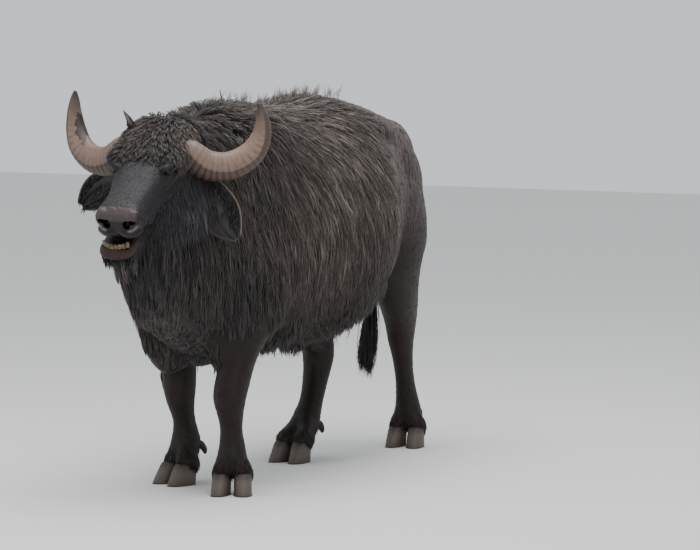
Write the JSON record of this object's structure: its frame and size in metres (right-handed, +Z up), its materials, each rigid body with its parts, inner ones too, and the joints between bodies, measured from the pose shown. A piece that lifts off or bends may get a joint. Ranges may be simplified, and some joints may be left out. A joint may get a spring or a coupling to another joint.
{
  "type": "water buffalo",
  "caption": "Life-size still model of a shaggy water buffalo bull standing with one hind foot stepped forward, head turned slightly left and jaw a little open.",
  "frame": {"origin": "on the floor under the middle of the animal's length and width", "axes": "+Z up; the animal faces -Y, and its left side is towards +X"},
  "size_m": [0.7654, 2.2014, 1.4138],
  "materials": {
    "shaggy_coat": "long wavy dark hair with bleached brown locks",
    "short_hair": "short flat brown-black hair",
    "face_hide": "short grey-black hair over dark hide",
    "horn": "ridged tan horn with dark tips",
    "claw_horn": "dull grey-brown hoof",
    "eye": "wet and dark",
    "teeth": "yellowed enamel"
  },
  "bodies": {
    "root": {"claw_fore_left_inner": "claw_horn", "claw_fore_left_outer": "claw_horn", "claw_fore_right_inner": "claw_horn", "claw_fore_right_outer": "claw_horn", "claw_hind_left_inner": "claw_horn", "claw_hind_left_outer": "claw_horn", "claw_hind_right_inner": "claw_horn", "claw_hind_right_outer": "claw_horn", "dewclaw_fore_left_inner": "claw_horn", "dewclaw_fore_left_outer": "claw_horn", "dewclaw_fore_right_inner": "claw_horn", "dewclaw_fore_right_outer": "claw_horn", "dewclaw_hind_left_inner": "claw_horn", "dewclaw_hind_left_outer": "claw_horn", "dewclaw_hind_right_inner": "claw_horn", "dewclaw_hind_right_outer": "claw_horn", "ear_left": "face_hide", "ear_right": "face_hide", "eye_left": "eye", "eye_right": "eye", "fore_leg_left": "short_hair", "fore_leg_right": "short_hair", "head": "face_hide", "hind_leg_left": "short_hair", "hind_leg_right": "short_hair", "hindquarters": "shaggy_coat", "horn_left": "horn", "horn_right": "horn", "neck": "shaggy_coat", "tail_dock": "short_hair", "tail_switch": "shaggy_coat", "teeth": "teeth", "torso": "shaggy_coat"}
  },
  "joints": []
}
